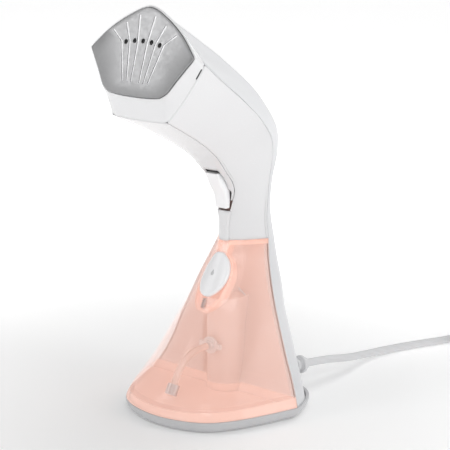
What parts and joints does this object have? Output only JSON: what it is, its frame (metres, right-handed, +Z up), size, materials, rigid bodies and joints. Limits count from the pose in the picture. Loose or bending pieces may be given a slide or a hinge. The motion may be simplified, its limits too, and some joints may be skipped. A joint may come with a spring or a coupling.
{
  "type": "garment steamer",
  "caption": "Hand-held garment steamer standing on its foot: curved handle with a five-sided steam plate, finger trigger and detachable clear water tank.",
  "frame": {"origin": "on the resting surface, below the middle of the steamer's box without its cord", "axes": "+Z up, -Y towards the front that the steam plate faces, +X to the user's left of the plate, symmetric about x = 0"},
  "size_m": [0.2498, 0.4502, 0.3283],
  "materials": {
    "white_shell": "glossy white moulded shell",
    "cover_white": "satin white back cover, slightly greyer",
    "plate_metal": "satin steam plate with a soft sheen",
    "tank_pink": "clear tinted tank wall",
    "foot_grey": "light grey satin foot",
    "button_white": "glossy white button and trigger",
    "inner_plastic": "inner moulded plastic",
    "silicone": "soft silicone hose, seal or pad",
    "cast_aluminium": "cast boiler block",
    "steel_parts": "plain steel pin, spring, screw or frame",
    "copper_coil": "wound copper coil",
    "board_green": "printed circuit board",
    "component_black": "moulded electric component",
    "cord_grey": "light grey flexible cord and guard",
    "wire_sleeve": "insulated wire",
    "contact_metal": "nickel plated contact pins"
  },
  "bodies": {
    "body": {"head_bezel": "white_shell", "underside_cover": "white_shell", "front_strip": "white_shell", "side_shell_left": "white_shell", "side_shell_right": "white_shell", "back_cover": "cover_white", "steam_plate": "plate_metal", "plate_gasket": "silicone", "steam_chamber": "cast_aluminium", "chamber_cover": "cast_aluminium", "heating_element": "steel_parts", "thermostat": "component_black", "thermal_fuse": "component_black", "water_inlet": "steel_parts", "base_foot": "foot_grey", "base_deck": "inner_plastic", "rubber_feet": "silicone", "base_screws": "steel_parts", "spine_panel": "inner_plastic", "pump_housing": "inner_plastic", "pump_core": "inner_plastic", "pump_coil": "copper_coil", "pump_frame": "steel_parts", "pump_spring": "steel_parts", "water_connector": "inner_plastic", "connector_seal": "silicone", "trigger_pin": "steel_parts", "trigger_spring": "steel_parts", "switch_ledge": "inner_plastic", "microswitch": "component_black", "circuit_board": "board_green", "board_components": "component_black", "power_wires": "wire_sleeve", "water_hose": "silicone", "cord_guard": "cord_grey", "cord_clamp": "inner_plastic", "cord_lead": "cord_grey", "cord_tail": "cord_grey", "cord_coil": "cord_grey", "plug_body": "cord_grey", "plug_pins": "contact_metal"},
    "tank": {"tank_shell": "tank_pink", "button_seat": "tank_pink", "tank_valve": "inner_plastic", "suction_hose": "silicone", "suction_weight": "steel_parts", "filler_plug": "silicone", "release_spring": "steel_parts"},
    "button": {"release_button": "button_white", "latch_tongue": "button_white"},
    "trigger": {"steam_trigger": "button_white"},
    "switch": {"switch_plunger": "component_black"},
    "plunger": {"pump_plunger": "steel_parts"}
  },
  "joints": [
    {"name": "tank_slide", "type": "slide", "parent": "body", "child": "tank", "axis": [0, -1, 0], "range_m": [0, 0.12]},
    {"name": "button_slide", "type": "slide", "parent": "tank", "child": "button", "axis": [0, -0.518, -0.8554], "range_m": [0, 0.005], "stiffness_N_per_m": 300, "springref_m": -0.003, "deforming": ["release_spring"]},
    {"name": "trigger_hinge", "type": "hinge", "parent": "body", "child": "trigger", "pos_m": [0, 0.0245, 0.1885], "axis": [1, 0, 0], "range_deg": [0, 8], "stiffness_Nm_per_rad": 0.15, "springref_deg": -5.73, "deforming": ["trigger_spring"]},
    {"name": "switch_travel", "type": "slide", "parent": "body", "child": "switch", "axis": [0, 1, 0], "range_m": [0, 0.0016]},
    {"name": "pump_stroke", "type": "slide", "parent": "body", "child": "plunger", "axis": [0, 0, -1], "range_m": [0, 0.003], "stiffness_N_per_m": 200, "springref_m": -0.001, "deforming": ["pump_spring"]}
  ],
  "couplings": [
    {"joint": "switch_travel", "follows": "trigger_hinge", "m_per_rad": 0.011}
  ]
}
